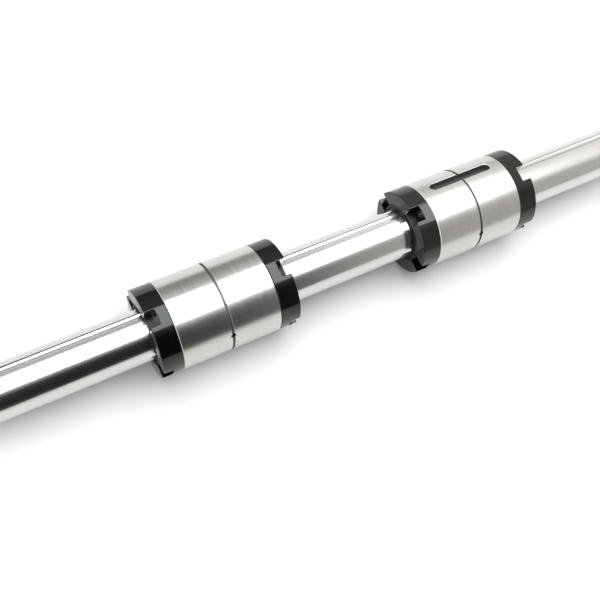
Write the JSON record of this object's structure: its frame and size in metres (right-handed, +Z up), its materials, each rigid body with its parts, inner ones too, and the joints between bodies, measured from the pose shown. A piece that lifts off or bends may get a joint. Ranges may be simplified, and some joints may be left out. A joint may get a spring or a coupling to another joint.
{
  "type": "ball spline",
  "caption": "Ground spline shaft with raceways and cylindrical keyed ball nuts that slide along it, each nut with a steel body, black end caps, seals and recirculating balls.",
  "frame": {"origin": "middle of the shaft's length, on the shaft's axis", "axes": "+X along the shaft from nut_a to nut_b, +Z up, so the nuts' barrels rest on the plane 17.5 mm below the origin; nut_b's keyway and one raceway face 60 degrees from +Y towards +Z"},
  "size_m": [0.3, 0.035, 0.035],
  "materials": {
    "ground_shaft": "ground and polished bearing steel, mirror-like with fine lengthwise lines",
    "satin_steel": "cylindrically ground bearing steel, satin with fine lines round the barrel",
    "black_plastic": "moulded black engineering plastic, glossy on the barrel, finer grained on the end face",
    "pale_plastic": "natural polyacetal, matt",
    "seal_rubber": "nitrile rubber, matt black",
    "bearing_ball": "polished bearing balls",
    "black_screw": "black oxide on alloy steel, thinly oiled"
  },
  "bodies": {
    "shaft": {"spline_shaft": "ground_shaft"},
    "nut_a": {"nut_a_body": "satin_steel", "nut_a_retainer": "pale_plastic", "nut_a_ball_circuit_keyway_side": "bearing_ball", "nut_a_ball_circuit_far_side": "bearing_ball", "nut_a_left_cap": "black_plastic", "nut_a_left_seal": "seal_rubber", "nut_a_left_cap_screw_1": "black_screw", "nut_a_left_cap_screw_2": "black_screw", "nut_a_left_cap_screw_3": "black_screw", "nut_a_left_cap_screw_4": "black_screw", "nut_a_right_cap": "black_plastic", "nut_a_right_seal": "seal_rubber", "nut_a_right_cap_screw_1": "black_screw", "nut_a_right_cap_screw_2": "black_screw", "nut_a_right_cap_screw_3": "black_screw", "nut_a_right_cap_screw_4": "black_screw"},
    "nut_b": {"nut_b_body": "satin_steel", "nut_b_retainer": "pale_plastic", "nut_b_ball_circuit_keyway_side": "bearing_ball", "nut_b_ball_circuit_far_side": "bearing_ball", "nut_b_left_cap": "black_plastic", "nut_b_left_seal": "seal_rubber", "nut_b_left_cap_screw_1": "black_screw", "nut_b_left_cap_screw_2": "black_screw", "nut_b_left_cap_screw_3": "black_screw", "nut_b_left_cap_screw_4": "black_screw", "nut_b_right_cap": "black_plastic", "nut_b_right_seal": "seal_rubber", "nut_b_right_cap_screw_1": "black_screw", "nut_b_right_cap_screw_2": "black_screw", "nut_b_right_cap_screw_3": "black_screw", "nut_b_right_cap_screw_4": "black_screw"}
  },
  "joints": [
    {"name": "nut_a_slide", "type": "slide", "parent": "shaft", "child": "nut_a", "axis": [1, 0, 0], "range_m": [-0.064, 0.0275]},
    {"name": "nut_b_slide", "type": "slide", "parent": "shaft", "child": "nut_b", "axis": [1, 0, 0], "range_m": [-0.0275, 0.064]}
  ]
}
